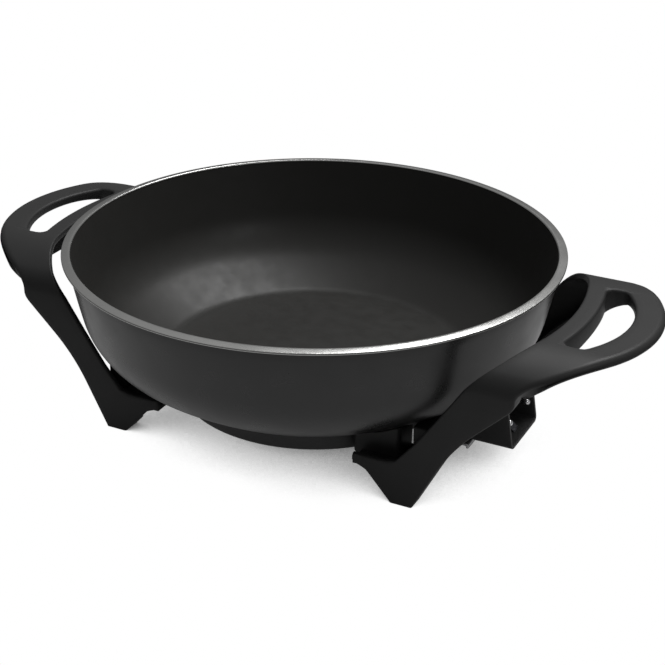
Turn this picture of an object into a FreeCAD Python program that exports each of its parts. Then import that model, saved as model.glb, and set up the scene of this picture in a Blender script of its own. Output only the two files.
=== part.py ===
"""Electric wok: a cast bowl on two handle-and-leg mouldings, with its element, base cap and thermostat inlet.

Millimetres. The origin is on the bowl's axis at the height of the feet. +X runs to the handle over the inlet,
-Y is the front and +Z is up. Every driving dimension is a cell of the sheet named sizes.
"""

import FreeCAD, Part
import math
import os
import re
import Sketcher

doc = FreeCAD.newDocument("electric_wok")
book = doc.addObject("Spreadsheet::Sheet", "sizes")

SIZES = {
    # bowl
    "rim_radius": 175, "rim_height": 132.7, "rim_lip": 2.2, "rim_neck": 2.4, "rim_edge": 0.9,
    "rim_chamfer": 1, "bowl_wall": 3, "bowl_base": 40, "bowl_flat": 108,
    "toe_radius": 20, "toe_angle": 29.8, "flank_radius": 270, "flank_angle": 35.9,
    "shoulder_radius": 55, "shoulder_angle": 77.2, "wall_radius": 860,
    # handle and leg mouldings
    "arch_half": 93, "arch_height": 118.4, "arch_corner": 18.4, "arch_crown": 67.6, "arch_angle": 60,
    "shell_wall": 4, "roof_wall": 4.4, "loop_centre": 147.5, "loop_radius": 100, "loop_depth": 6.4,
    "loop_round": 4.4, "grip_inner": 195, "hole_inner": 203, "hole_outer": 80, "hole_half": 48,
    "hole_corner": 5, "hug_radius": 190, "hug_slope": 0.55, "foot_inner": 103, "foot_outer": 119,
    "foot_sole": 7, "toe_end": 75, "toe_top": 30, "toe_bottom": 24, "rib_wall": 4.5, "rib_depth": 14.5,
    "seat_inset": 11, "seat_depth": 24, "seat_lead": 6, "seat_end": 102.5, "stay_start": 112,
    "stay_end": 125, "stay_top": 52, "seat_floor": 22, "floor_thick": 3, "cap_gap": 1,
    "edge_knee_across": 16, "edge_knee_up": 31, "edge_bend_across": 41, "edge_bend_up": 65,
    "edge_bend_radius": 127, "edge_brow_across": 73, "edge_brow_up": 96, "edge_loop_across": 39,
    "edge_loop_radius": 56, "toe_run": 10, "toe_drop": 4, "hug_foot": 44,
    # handle fasteners
    "screw_across": 86, "screw_along": 66, "boss_radius": 6, "boss_foot": 34, "boss_gap": 0.3,
    "handle_shank": 2.5, "handle_head": 4.5, "head_height": 3, "head_seat": 27, "washer_thick": 1,
    # base cap and its gasket
    "cap_radius": 97, "cap_height": 19.5, "cap_wall": 2, "cap_corner": 3, "window_half": 22.5,
    "window_foot": 22, "gasket_thick": 1.8, "gasket_width": 3.5,
    "post_gap": 3.5, "post_radius": 4.5, "post_shank": 1.8, "base_head": 3.5, "base_head_height": 2,
    # heating element and its clamp
    "ring_radius": 68, "sheath_radius": 4, "leg_spacing": 34, "bend_radius": 12, "sheath_inset": 4,
    "clamp_width": 33, "clamp_edge": 5, "clamp_thick": 1.5, "stud_gap": 9.5, "clamp_shank": 1.6,
    "clamp_head": 3, "seat_gap": 0.1,
    # terminals and probe socket
    "pin_radius": 2.4, "pin_neck": 1.9, "pin_reach": 28, "bush_reach": 3, "fit_gap": 0.1,
    "washer_radius": 5.2, "seal_thick": 0.8, "probe_radius": 4, "probe_bore": 3.1, "probe_start": 45,
    "probe_reach": 3, "probe_bottom": 3, "flange_radius": 6, "flange_thick": 1.5,
    # inlet shroud, bracket and earth contact
    "shroud_half": 25, "socket_depth": 31.5, "mouth_lean": 5, "shroud_top": 50, "shroud_wall": 2.5,
    "shroud_corner": 4, "shroud_gap": 0.3, "panel_thick": 3, "panel_end": 131, "slope_run": 20,
    "slope_gap": 1, "slope_foot": 38.5, "strap_thick": 1.8, "strap_start": 78, "strap_end": 133,
    "strap_half": 30, "strap_lip": 3.5, "strap_tongue": 12, "strap_neck": 104, "rivet_across": 116,
    "rivet_along": 20, "bracket_screw": 86, "bracket_along": 6, "bracket_shank": 1.5, "bracket_head": 2.8,
    "bracket_head_height": 1.4, "earth_half": 4, "earth_thick": 0.8, "earth_reach": 25, "earth_bow": 4,
    "earth_screw_reach": 6, "earth_shank": 1.3, "earth_head": 2.4,
}

for row, (alias, millimetres) in enumerate(SIZES.items(), start=1):
    book.set(f"A{row}", alias.replace("_", " "))
    book.set(f"B{row}", str(millimetres))
    book.setAlias(f"B{row}", alias)
doc.recompute()


# ---------------------------------------------------------------- sketching with sizes

def bound(text):
    """The same expression with every alias written as a cell of the sheet."""
    return re.sub(r"\b([a-z]+(?:_[a-z]+)+)\b", r"sizes.\1", str(text))


def number(text):
    return float(book.evalExpression(bound(text)))


def constrain(sketch, kind, where, text):
    """A driving dimension: a number as it is, an expression bound to the sheet."""
    index = sketch.addConstraint(Sketcher.Constraint(kind, *where, number(text)))
    if re.search("[a-z]", str(text)):
        sketch.setExpression(f"Constraints[{index}]", bound(text))


def sketch_on(body, name, plane, lift=0):
    """A sketch on one of the body's origin planes, lifted along the plane's normal."""
    sketch = body.newObject("Sketcher::SketchObject", name)
    support = [item for item in body.Origin.OriginFeatures if item.Role == plane][0]
    sketch.AttachmentSupport = [(support, "")]
    sketch.MapMode = "FlatFace"
    sketch.AttachmentOffset = FreeCAD.Placement(FreeCAD.Vector(0, 0, number(lift)), FreeCAD.Rotation())
    if re.search("[a-z]", str(lift)):
        sketch.setExpression("AttachmentOffset.Base.z", bound(lift))
    return sketch


def arc_centre(start, end, radius):
    """Centre of the short arc from start to end. A positive radius runs counterclockwise."""
    across, up = end[0] - start[0], end[1] - start[1]
    chord = math.hypot(across, up)
    rise = math.sqrt(max(radius * radius - chord * chord / 4, 0)) * (1 if radius > 0 else -1)
    return ((start[0] + end[0]) / 2 - rise * up / chord, (start[1] + end[1]) / 2 + rise * across / chord)


def outline(sketch, corners):
    """A closed outline. A corner is (across, up), or (across, up, radius) where an arc arrives there.

    Each corner's place and each radius is a dimension of the sketch.
    """
    first = len(sketch.Geometry)
    places = [(number(corner[0]), number(corner[1])) for corner in corners]
    count = len(corners)
    for index in range(count):
        start, end, corner = places[index - 1], places[index], corners[index]
        if len(corner) == 2:
            sketch.addGeometry(Part.LineSegment(FreeCAD.Vector(*start, 0), FreeCAD.Vector(*end, 0)))
            continue
        radius = number(corner[2])
        centre = arc_centre(start, end, radius)
        angles = [math.atan2(place[1] - centre[1], place[0] - centre[0]) for place in (start, end)]
        if radius < 0:
            angles.reverse()
        circle = Part.Circle(FreeCAD.Vector(*centre, 0), FreeCAD.Vector(0, 0, 1), abs(radius))
        sketch.addGeometry(Part.ArcOfCircle(circle, angles[0], angles[1]))

    def ends(index):
        """The points of a piece's geometry that are its start and its end along the outline."""
        corner = corners[index]
        return (2, 1) if len(corner) == 3 and number(corner[2]) < 0 else (1, 2)

    for index, corner in enumerate(corners):
        following = (index + 1) % count
        here, there = first + index, first + following
        end, start = ends(index)[1], ends(following)[0]
        sketch.addConstraint(Sketcher.Constraint("Coincident", here, end, there, start))
        constrain(sketch, "DistanceX", (here, ends(index)[1]), corner[0])
        constrain(sketch, "DistanceY", (here, ends(index)[1]), corner[1])
        if len(corner) == 3:
            text = str(corner[2])
            constrain(sketch, "Radius", (here,), text[1:] if text.startswith("-") else text)


def circle(sketch, across, up, radius):
    index = sketch.addGeometry(
        Part.Circle(FreeCAD.Vector(number(across), number(up), 0), FreeCAD.Vector(0, 0, 1), number(radius))
    )
    constrain(sketch, "DistanceX", (index, 3), across)
    constrain(sketch, "DistanceY", (index, 3), up)
    constrain(sketch, "Radius", (index,), radius)


def rectangle(sketch, left, bottom, right, top):
    outline(sketch, [(right, bottom), (right, top), (left, top), (left, bottom)])


def swept(body, kind, sketch, length, symmetric=False, reverse=False):
    """A pad or a pocket of the sketch."""
    feature = body.newObject(f"PartDesign::{kind}", f"{sketch.Name}_{kind.lower()}")
    feature.Profile = sketch
    feature.Length = number(length)
    if re.search("[a-z]", str(length)):
        feature.setExpression("Length", bound(length))
    feature.SideType = "Symmetric" if symmetric else "One side"
    feature.Reversed = reverse
    doc.recompute()
    return feature


def turned(body, kind, sketch, axis="V_Axis"):
    """A revolution or a groove of the sketch about one of its axes."""
    feature = body.newObject(f"PartDesign::{kind}", f"{sketch.Name}_{kind.lower()}")
    feature.Profile = sketch
    feature.ReferenceAxis = (sketch, [axis])
    feature.Angle = 360
    doc.recompute()
    return feature


def new_body(name):
    body = doc.addObject("PartDesign::Body", name)
    body.Label = name
    parts.append(body)
    return body


def polar(radius, degrees):
    """Expressions for a place on a circle about the origin."""
    return f"({radius}) * cos({degrees})", f"({radius}) * sin({degrees})"


def at_circle(radius, angles):
    return [polar(radius, angle) for angle in angles]


parts = []
LEGS = [(1, 1), (1, -1), (-1, 1), (-1, -1)]
POST_ANGLES = (60, 180, 300)
POST_CIRCLE = "ring_radius + sheath_radius + post_gap + post_radius"
STUD_CIRCLE = "ring_radius - sheath_radius - stud_gap - post_radius"
SHEATH_END = "panel_end - panel_thick - sheath_inset"
SOCKET_END = "(panel_end + socket_depth)"


# ---------------------------------------------------------------- bowl

# the wall's arc ends a neck below the rim's lip, wherever the rim is
WALL_ANGLE = (
    "acos(cos(shoulder_angle) - (rim_height - rim_lip - rim_neck - bowl_base"
    " - toe_radius * (1 - cos(toe_angle)) - flank_radius * (cos(toe_angle) - cos(flank_angle))"
    " - shoulder_radius * (cos(flank_angle) - cos(shoulder_angle))) / wall_radius)"
)


def bowl_side(offset):
    """The bowl's outer face from the edge of its flat base up to the rim, moved outwards by offset.

    Four arcs, each tangent to the one before: toe, flank, shoulder and wall.
    """
    corners = []
    across, up = "bowl_flat", f"bowl_base - ({offset})"
    before = "0"
    for arc in ("toe", "flank", "shoulder", "wall"):
        radius = f"({arc}_radius + ({offset}))"
        turn = WALL_ANGLE if arc == "wall" else f"{arc}_angle"
        across = f"{across} + {radius} * (sin({turn}) - sin({before}))"
        up = f"{up} + {radius} * (cos({before}) - cos({turn}))"
        corners.append((across, up, radius))
        before = turn
    return corners


def make_bowl():
    """Cast bowl: a turned outside with the rim lip, bosses and posts below, then the turned inside."""
    body = new_body("bowl")
    outside = sketch_on(body, "bowl_outside", "XZ_Plane")
    side = bowl_side("0")
    outline(outside, [("0", "bowl_base"), ("bowl_flat", "bowl_base"), *side,
                      (side[-1][0], "rim_height - rim_lip"), ("rim_radius", "rim_height - rim_lip"),
                      ("rim_radius", "rim_height - rim_edge"),
                      ("rim_radius - rim_edge", "rim_height", "rim_edge"), ("0", "rim_height")])
    turned(body, "Revolution", outside)

    bosses = sketch_on(body, "handle_bosses", "XY_Plane", "boss_foot")
    for side_x, side_y in LEGS:
        circle(bosses, f"{side_x} * screw_across", f"{side_y} * screw_along", "boss_radius")
    swept(body, "Pad", bosses, "bowl_base - boss_foot + boss_radius * 2")

    posts = sketch_on(body, "cap_posts", "XY_Plane", "cap_height + cap_wall")
    for place in at_circle(POST_CIRCLE, POST_ANGLES):
        circle(posts, *place, "post_radius")
    swept(body, "Pad", posts, "bowl_base - cap_height - cap_wall + bowl_wall")

    studs = sketch_on(body, "clamp_posts", "XY_Plane", "bowl_base - sheath_radius * 2 - seat_gap")
    for place in at_circle(STUD_CIRCLE, POST_ANGLES):
        circle(studs, *place, "post_radius")
    swept(body, "Pad", studs, "sheath_radius * 2 + seat_gap + bowl_wall")

    inside = sketch_on(body, "bowl_inside", "XZ_Plane")
    side = bowl_side("-bowl_wall")
    outline(inside, [("0", "bowl_base + bowl_wall"), ("bowl_flat", "bowl_base + bowl_wall"), *side,
                     (side[-1][0], "rim_height - rim_chamfer"),
                     (side[-1][0] + " + rim_chamfer", "rim_height"),
                     (side[-1][0] + " + rim_chamfer", "rim_height + 1"),
                     ("0", "rim_height + 1")])
    turned(body, "Groove", inside)

    for name, lift, places, radius, depth in (
        ("boss_holes", "boss_foot", [(f"{x} * screw_across", f"{y} * screw_along") for x, y in LEGS],
         "handle_shank", "bowl_base - boss_foot + bowl_wall / 3"),
        ("post_holes", "cap_height + cap_wall", at_circle(POST_CIRCLE, POST_ANGLES),
         "post_shank", "(bowl_base - cap_height - cap_wall) * 0.7"),
        ("stud_holes", "bowl_base - sheath_radius * 2 - seat_gap", at_circle(STUD_CIRCLE, POST_ANGLES),
         "clamp_shank", "sheath_radius * 2"),
    ):
        holes = sketch_on(body, name, "XY_Plane", lift)
        for place in places:
            circle(holes, *place, radius)
        swept(body, "Pocket", holes, depth, reverse=True)


# ---------------------------------------------------------------- solids from Part's own features

PLANES = {
    # rotation that lays a sketch on the plane, and the axis along which it is lifted
    "XY": (FreeCAD.Rotation(), "z"),
    "XZ": (FreeCAD.Rotation(FreeCAD.Vector(1, 0, 0), 90), "y"),
    "YZ": (FreeCAD.Rotation(FreeCAD.Vector(1, 1, 1), 120), "x"),
}


def place(item, **offsets):
    """Moves an object to named distances along x, y and z."""
    base = FreeCAD.Vector(item.Placement.Base)
    for axis, text in offsets.items():
        setattr(base, axis, number(text))
    item.Placement = FreeCAD.Placement(base, item.Placement.Rotation)
    for axis, text in offsets.items():
        if re.search("[a-z]", str(text)):
            item.setExpression(f"Placement.Base.{axis}", bound(text))


def flat_sketch(name, plane, lift="0"):
    sketch = doc.addObject("Sketcher::SketchObject", f"{name}_sketch")
    rotation, axis = PLANES[plane]
    sketch.Placement = FreeCAD.Placement(FreeCAD.Vector(0, 0, 0), rotation)
    place(sketch, **{axis: lift})
    return sketch


def prism(name, plane, draw, length, lift="0", symmetric=False):
    """A sketch, drawn by the function given, extruded square to its plane."""
    sketch = flat_sketch(name, plane, lift)
    draw(sketch)
    solid = doc.addObject("Part::Extrusion", name)
    solid.Base = sketch
    solid.DirMode = "Normal"
    solid.Solid = True
    solid.Symmetric = symmetric
    sized(solid, LengthFwd=length)
    return solid


def sized(item, **sizes):
    for field, text in sizes.items():
        setattr(item, field, number(text))
        if re.search("[a-z]", str(text)):
            item.setExpression(field, bound(text))
    return item


def rod(name, radius, length, x="0", y="0", z="0", along="z"):
    """A cylinder along z, or along x from its placed end."""
    item = sized(doc.addObject("Part::Cylinder", name), Radius=radius, Height=length)
    if along == "x":
        item.Placement = FreeCAD.Placement(FreeCAD.Vector(), FreeCAD.Rotation(FreeCAD.Vector(0, 1, 0), 90))
    place(item, x=x, y=y, z=z)
    return item


def block(name, length, width, height, x, y, z):
    item = sized(doc.addObject("Part::Box", name), Length=length, Width=width, Height=height)
    place(item, x=x, y=y, z=z)
    return item


def joined(name, items, kind="Part::MultiFuse"):
    item = doc.addObject(kind, name)
    item.Shapes = items
    return item


def cut(name, base, tools):
    item = doc.addObject("Part::Cut", name)
    item.Base = base
    item.Tool = tools[0] if len(tools) == 1 else joined(f"{name}_tools", tools)
    return item


def group(name, items):
    """Identical loose pieces as one node of separate solids."""
    item = doc.addObject("Part::Compound", name)
    item.Links = items
    return item


def finished(name, item):
    item.Label = name
    parts.append(item)
    return item


def screws(name, places, seat, head_radius, head_height, shank_radius, length):
    """Pan-head screws pointing up: the heads hang below the height of their seat."""
    made = []
    for index, (x, y) in enumerate(places):
        head = rod(f"{name}_head_{index}", head_radius, head_height, x, y, f"{seat} - {head_height}")
        shank = rod(f"{name}_shank_{index}", shank_radius, length, x, y, seat)
        made.append(joined(f"{name}_{index}", [head, shank]))
    return finished(name, group(f"{name}_group", made))


# ---------------------------------------------------------------- handle and leg mouldings

def arch_outline(sketch, side, top, foot):
    """An arch across Y: straight legs, then two tangent arcs each side into a flat crown."""
    half, height = f"arch_half - {side}", f"arch_height - {top}"
    small, large = f"(arch_corner - {side})", f"(arch_crown - {side})"
    spring = f"{height} - {small} * sin(arch_angle) - {large} * (1 - sin(arch_angle))"
    bend_across = f"{half} - {small} * (1 - cos(arch_angle))"
    bend_up = f"{spring} + {small} * sin(arch_angle)"
    crown = f"{bend_across} - {large} * cos(arch_angle)"
    outline(sketch, [
        (half, foot), (half, spring), (bend_across, bend_up, small), (crown, height, large),
        (f"-({crown})", height), (f"-({bend_across})", bend_up, large), (f"-({half})", spring, small),
        (f"-({half})", foot),
    ])


def leg_edge(inward):
    """The legs' outer edge from the foot up to the loop, moved into the leg by a distance inward."""
    across, up = f"foot_outer - 0.8 * {inward}", f"0.6 * {inward}"
    return [
        (f"{across} + edge_knee_across", f"{up} + edge_knee_up"),
        (f"{across} + edge_bend_across", f"{up} + edge_bend_up", "-edge_bend_radius"),
        (f"{across} + edge_brow_across", f"{up} + edge_brow_up"),
    ]


def side_outline(sketch):
    """The moulding seen from the front: foot, outer edge, underside and crown of the loop, toe."""
    outline(sketch, [
        ("foot_outer", "0"), *leg_edge("0"),
        ("foot_outer + edge_brow_across + edge_loop_across", "arch_height - loop_depth", "-edge_loop_radius"),
        ("loop_centre + loop_radius + 1", "arch_height - loop_depth"),
        ("loop_centre + loop_radius + 1", "arch_height + 1"), ("toe_end", "arch_height + 1"),
        ("toe_end", "toe_bottom"), ("toe_end + toe_run", "toe_bottom - toe_drop"), ("foot_inner", "0"),
    ])


def plan_outline(sketch, wall):
    """The moulding seen from above: square towards the bowl, round at the loop."""
    radius = f"(loop_radius - {wall})"
    outline(sketch, [
        (f"loop_centre + {radius}", "0", radius), ("loop_centre", radius, radius),
        ("toe_end - 2", radius), ("toe_end - 2", f"-{radius}"), ("loop_centre", f"-{radius}"),
    ])


def rounded_plan(name):
    """The outer plan as a solid whose top edge is rounded round the loop."""
    sketch = flat_sketch(f"{name}_disc", "XZ")
    outline(sketch, [
        ("0", "-1"), ("loop_radius", "-1"), ("loop_radius", "arch_height - loop_round"),
        ("loop_radius - loop_round", "arch_height", "loop_round"), ("0", "arch_height"),
    ])
    disc = doc.addObject("Part::Revolution", f"{name}_disc")
    disc.Source = sketch
    disc.Axis = FreeCAD.Vector(0, 0, 1)
    disc.Solid = True
    place(disc, x="loop_centre")
    square = block(f"{name}_square", "loop_centre - toe_end + 2", "loop_radius * 2", "arch_height + 2",
                   "toe_end - 2", "-loop_radius", "-1")
    return joined(f"{name}_plan", [disc, square])


def finger_hole(sketch):
    """A crescent between an arc that follows the bowl and one that follows the loop, with round corners."""
    turn_up = "(hole_half - hole_corner)"
    inner_across = f"sqrt((hole_inner + hole_corner) ^ 2 - {turn_up} ^ 2)"
    outer_across = f"sqrt((hole_outer - hole_corner) ^ 2 - {turn_up} ^ 2)"
    inner_share = "hole_inner / (hole_inner + hole_corner)"
    outer_share = "hole_outer / (hole_outer - hole_corner)"
    inner_end = (f"{inner_across} * {inner_share}", f"{turn_up} * {inner_share}")
    outer_end = (f"loop_centre + {outer_across} * {outer_share}", f"{turn_up} * {outer_share}")
    outline(sketch, [
        (outer_end[0], f"-({outer_end[1]})", "hole_corner"), (*outer_end, "hole_outer"),
        (f"loop_centre + {outer_across}", "hole_half", "hole_corner"), (inner_across, "hole_half"),
        (*inner_end, "hole_corner"), (inner_end[0], f"-({inner_end[1]})", "-hole_inner"),
        (inner_across, "-hole_half", "hole_corner"), (f"loop_centre + {outer_across}", "-hole_half"),
    ])


def bowl_clearance():
    """The space that the bowl takes up, with a running gap, to shape what seats under it."""
    sketch = flat_sketch("bowl_space", "XZ")
    side = bowl_side("boss_gap")
    outline(sketch, [("0", "bowl_base - boss_gap"), ("bowl_flat", "bowl_base - boss_gap"), *side,
                     (side[-1][0], "rim_height + 1"), ("0", "rim_height + 1")])
    space = doc.addObject("Part::Revolution", "bowl_space")
    space.Source = sketch
    space.Axis = FreeCAD.Vector(0, 0, 1)
    space.Solid = True
    return space


def make_handle(name, turn, bowl_space):
    """One moulding: a shell shaped by its arch, its plan and its side view, with ribs and seats behind."""
    def label(piece):
        return f"{name}_{piece}"

    reach = "loop_centre + loop_radius - toe_end"
    width = "arch_half * 2 + 2"
    outside = joined(label("outside"), [
        prism(label("arch"), "YZ", lambda sketch: arch_outline(sketch, "0", "0", "0"), reach, "toe_end"),
        rounded_plan(label("outer")),
        prism(label("side"), "XZ", side_outline, width, symmetric=True),
    ], "Part::MultiCommon")

    # hollow: under the roof and behind the front plates, less a rib along the legs' outer edge
    behind_ribs = prism(label("behind_ribs"), "XZ", lambda sketch: outline(sketch, [
        ("foot_outer - rib_wall", "foot_sole"), ("foot_outer - 0.8 * rib_wall", "foot_sole + 0.1"),
        *leg_edge("rib_wall"), ("grip_inner", "arch_height"), ("toe_end - 2", "arch_height"),
        ("toe_end - 2", "foot_sole"),
    ]), width, symmetric=True)
    between_ribs = block(label("between_ribs"), "grip_inner - toe_end + 2", "arch_half * 2 - rib_depth * 2",
                         "arch_height + 1", "toe_end - 2", "rib_depth - arch_half", "-1")
    hollow = joined(label("hollow"), [
        prism(label("hollow_arch"), "YZ",
              lambda sketch: arch_outline(sketch, "shell_wall", "roof_wall", "-1"),
              "grip_inner - toe_end + 2", "toe_end - 2"),
        prism(label("hollow_plan"), "XY", lambda sketch: plan_outline(sketch, "shell_wall"),
              "arch_height + 2", "-1"),
        joined(label("hollow_side"), [behind_ribs, between_ribs]),
    ], "Part::MultiCommon")

    # the edge towards the bowl is a cone about the bowl's axis, and the toe's top edge is level
    hug = sized(doc.addObject("Part::Cone", label("hug")),
                Radius1="hug_radius - hug_slope * (arch_height - hug_foot)",
                Radius2="hug_radius + hug_slope * 5", Height="arch_height - hug_foot + 5")
    place(hug, z="hug_foot")
    toe_top = prism(label("toe_top"), "XZ", lambda sketch: outline(sketch, [
        ("foot_inner - 4", "toe_top"), ("foot_inner + 3", "toe_top + 2"),
        ("foot_inner + 14", "hug_foot + 0.5"), ("foot_inner + 14", "hug_foot + 2"),
        ("toe_end - 2", "hug_foot + 2"), ("toe_end - 2", "toe_top"),
    ]), width, symmetric=True)
    hole = prism(label("hole"), "XY", finger_hole, "arch_height - edge_brow_up + 1", "edge_brow_up")
    shell = cut(label("shell"), outside, [hollow, hug, toe_top, hole])

    # seats: a block under the bowl at each leg, with a slot and a stay beside it, on a floor behind the plate
    seats, holes = [], []
    for side in (1, -1):
        outer = "arch_half - shell_wall - seat_inset"
        inner = f"{outer} - seat_depth" if side > 0 else f"-({outer})"
        floor = f"{outer} - seat_depth" if side > 0 else "shell_wall - arch_half"
        tag = "rear" if side > 0 else "front"
        seats.append(block(label(f"seat_{tag}"), "seat_end - toe_end + seat_lead", "seat_depth",
                           "stay_top - seat_floor", "toe_end - seat_lead", inner, "seat_floor"))
        seats.append(block(label(f"stay_{tag}"), "stay_end - stay_start", "seat_depth",
                           "stay_top - seat_floor", "stay_start", inner, "seat_floor"))
        seats.append(block(label(f"floor_{tag}"), "stay_end - toe_end", "seat_inset + seat_depth",
                           "floor_thick", "toe_end", floor, "seat_floor"))
        spot = {"x": "screw_across", "y": f"{side} * screw_along"}
        holes.append(rod(label(f"shank_{tag}"), "handle_shank + boss_gap", "stay_top", z="0", **spot))
        holes.append(rod(label(f"counterbore_{tag}"), "handle_head + boss_gap * 2", "head_seat",
                         z="0", **spot))
        holes.append(rod(label(f"boss_{tag}"), "boss_radius + boss_gap", "stay_top",
                         z="boss_foot - boss_gap", **spot))
    holes.append(rod(label("cap_space"), "cap_radius + cap_gap", "stay_top", z="0"))
    whole = joined(label("whole"), [shell, *seats])
    item = cut(label("moulding"), whole, [bowl_space, *holes])
    item.Placement = FreeCAD.Placement(FreeCAD.Vector(), FreeCAD.Rotation(FreeCAD.Vector(0, 0, 1), turn))
    return finished(name, item)


def make_handle_fasteners():
    spots = [(f"{x} * screw_across", f"{y} * screw_along") for x, y in LEGS]
    screws("handle_screws", spots, "head_seat - washer_thick", "handle_head", "head_height", "handle_shank",
           "bowl_base - head_seat + washer_thick + 1")
    washers = []
    for index, (x, y) in enumerate(spots):
        disc = rod(f"handle_washer_disc_{index}", "handle_head", "washer_thick", x, y,
                   "head_seat - washer_thick")
        hole = rod(f"handle_washer_hole_{index}", "handle_shank + fit_gap", "washer_thick * 3", x, y,
                   "head_seat - washer_thick * 2")
        washers.append(cut(f"handle_washer_{index}", disc, [hole]))
    finished("handle_washers", group("handle_washer_group", washers))


# ---------------------------------------------------------------- base cap, gasket and their screws

def make_base():
    """A pressed cap below the bowl, open towards the inlet, with a gasket on its edge."""
    body = new_body("base_cap")
    top = "bowl_base - gasket_thick"
    profile = sketch_on(body, "cap_profile", "XZ_Plane")
    outline(profile, [
        ("0", "cap_height"), ("cap_radius - cap_corner", "cap_height"),
        ("cap_radius", "cap_height + cap_corner", "cap_corner"), ("cap_radius", top),
        ("cap_radius - cap_wall", top), ("cap_radius - cap_wall", "cap_height + cap_wall"),
        ("0", "cap_height + cap_wall"),
    ])
    turned(body, "Revolution", profile)
    window = sketch_on(body, "cap_window", "YZ_Plane", "cap_radius - cap_wall * 4")
    rectangle(window, "-window_half", "window_foot", "window_half", "bowl_base")
    swept(body, "Pocket", window, "cap_wall * 5", reverse=True)
    holes = sketch_on(body, "cap_holes", "XY_Plane", "cap_height")
    for spot in at_circle(POST_CIRCLE, POST_ANGLES):
        circle(holes, *spot, "post_shank + fit_gap")
    for side in ("bracket_along", "-bracket_along"):
        circle(holes, "bracket_screw", side, "bracket_shank + fit_gap")
    swept(body, "Pocket", holes, "cap_wall", reverse=True)

    ring = rod("gasket_disc", "cap_radius", "gasket_thick", z=top)
    bore = rod("gasket_bore", "cap_radius - gasket_width", "gasket_thick * 3", z=f"{top} - gasket_thick")
    gap = block("gasket_gap", "cap_radius", "window_half * 2", "gasket_thick * 3",
                "cap_radius / 2", "-window_half", f"{top} - gasket_thick")
    finished("base_gasket", cut("gasket", ring, [bore, gap]))
    screws("base_screws", at_circle(POST_CIRCLE, POST_ANGLES), "cap_height", "base_head", "base_head_height",
           "post_shank", "(bowl_base - cap_height) * 0.6")


# ---------------------------------------------------------------- heating element and its clamp

def make_element():
    """A horseshoe of sheathed tube that touches the bowl's flat base, with two straight legs to the inlet."""
    height = number("bowl_base - sheath_radius - seat_gap")
    ring, bend = number("ring_radius"), number("bend_radius")
    leg, tube = number("leg_spacing") / 2, number("sheath_radius")
    centre_x = math.sqrt((ring + bend) ** 2 - (leg + bend) ** 2)
    centre_y = leg + bend
    touch = ring / (ring + bend)
    middle = math.atan2(-bend / 2 - centre_y * (1 - touch) / 2, (touch - 1) * centre_x / 2)

    def point(x, y):
        return FreeCAD.Vector(x, y, height)

    def bend_arc(side):
        points = [point(centre_x, side * leg),
                  point(centre_x + bend * math.cos(middle), side * (centre_y + bend * math.sin(middle))),
                  point(centre_x * touch, side * centre_y * touch)]
        return points if side > 0 else points[::-1]

    end = number(SHEATH_END)
    upper, lower = bend_arc(1), bend_arc(-1)
    path = Part.Wire([
        Part.LineSegment(point(end, leg), upper[0]).toShape(), Part.Arc(*upper).toShape(),
        Part.Arc(upper[2], point(-ring, 0), lower[0]).toShape(), Part.Arc(*lower).toShape(),
        Part.LineSegment(lower[2], point(end, -leg)).toShape(),
    ])
    section = Part.Wire(Part.Circle(point(end, leg), FreeCAD.Vector(1, 0, 0), tube).toShape())
    item = doc.addObject("Part::Feature", "element")
    item.Shape = path.makePipeShell([section], True, False)
    finished("heating_element", item)

    under = "bowl_base - sheath_radius * 2 - seat_gap - clamp_thick"
    plate = rod("clamp_disc", "ring_radius + clamp_edge", "clamp_thick", z=under)
    tools = [rod("clamp_bore", "ring_radius + clamp_edge - clamp_width", "clamp_thick * 3",
                 z=f"{under} - clamp_thick")]
    for index, (x, y) in enumerate(at_circle(STUD_CIRCLE, POST_ANGLES)):
        tools.append(rod(f"clamp_hole_{index}", "clamp_shank + fit_gap", "clamp_thick * 3", x, y,
                         f"{under} - clamp_thick"))
    finished("element_clamp", cut("clamp_plate", plate, tools))
    screws("clamp_screws", at_circle(STUD_CIRCLE, POST_ANGLES), under, "clamp_head", "base_head_height",
           "clamp_shank", "clamp_thick + sheath_radius")


# ---------------------------------------------------------------- terminals and the probe's socket

AXIS_HEIGHT = "bowl_base - sheath_radius - seat_gap"
BUSH_LENGTH = "sheath_inset + panel_thick + bush_reach"


def terminal(name, kind, sign):
    """One of the pieces on the axis of a terminal: a pin, its bush, its seal or its retainer."""
    y = f"{sign} * leg_spacing / 2"
    tag = f"{name}_{'rear' if sign > 0 else 'front'}"
    if kind == "pin":
        neck = rod(f"{tag}_neck", "pin_neck", BUSH_LENGTH, SHEATH_END, y, AXIS_HEIGHT, "x")
        stem = rod(f"{tag}_stem", "pin_radius", "pin_reach - pin_radius - bush_reach",
                   "panel_end + bush_reach", y, AXIS_HEIGHT, "x")
        dome = sized(doc.addObject("Part::Sphere", f"{tag}_dome"), Radius="pin_radius")
        place(dome, x="panel_end + pin_reach - pin_radius", y=y, z=AXIS_HEIGHT)
        return joined(tag, [neck, stem, dome])
    start, length, outer, inner = {
        "bush": (SHEATH_END, BUSH_LENGTH, "sheath_radius", "pin_neck + fit_gap"),
        "seal": ("panel_end - panel_thick - seal_thick", "seal_thick", "washer_radius",
                 "sheath_radius + fit_gap"),
        "retainer": ("panel_end", "seal_thick", "washer_radius", "sheath_radius + fit_gap"),
    }[kind]
    disc = rod(f"{tag}_disc", outer, length, start, y, AXIS_HEIGHT, "x")
    bore = rod(f"{tag}_bore", inner, f"{length} + 2", f"{start} - 1", y, AXIS_HEIGHT, "x")
    return cut(tag, disc, [bore])


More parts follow.
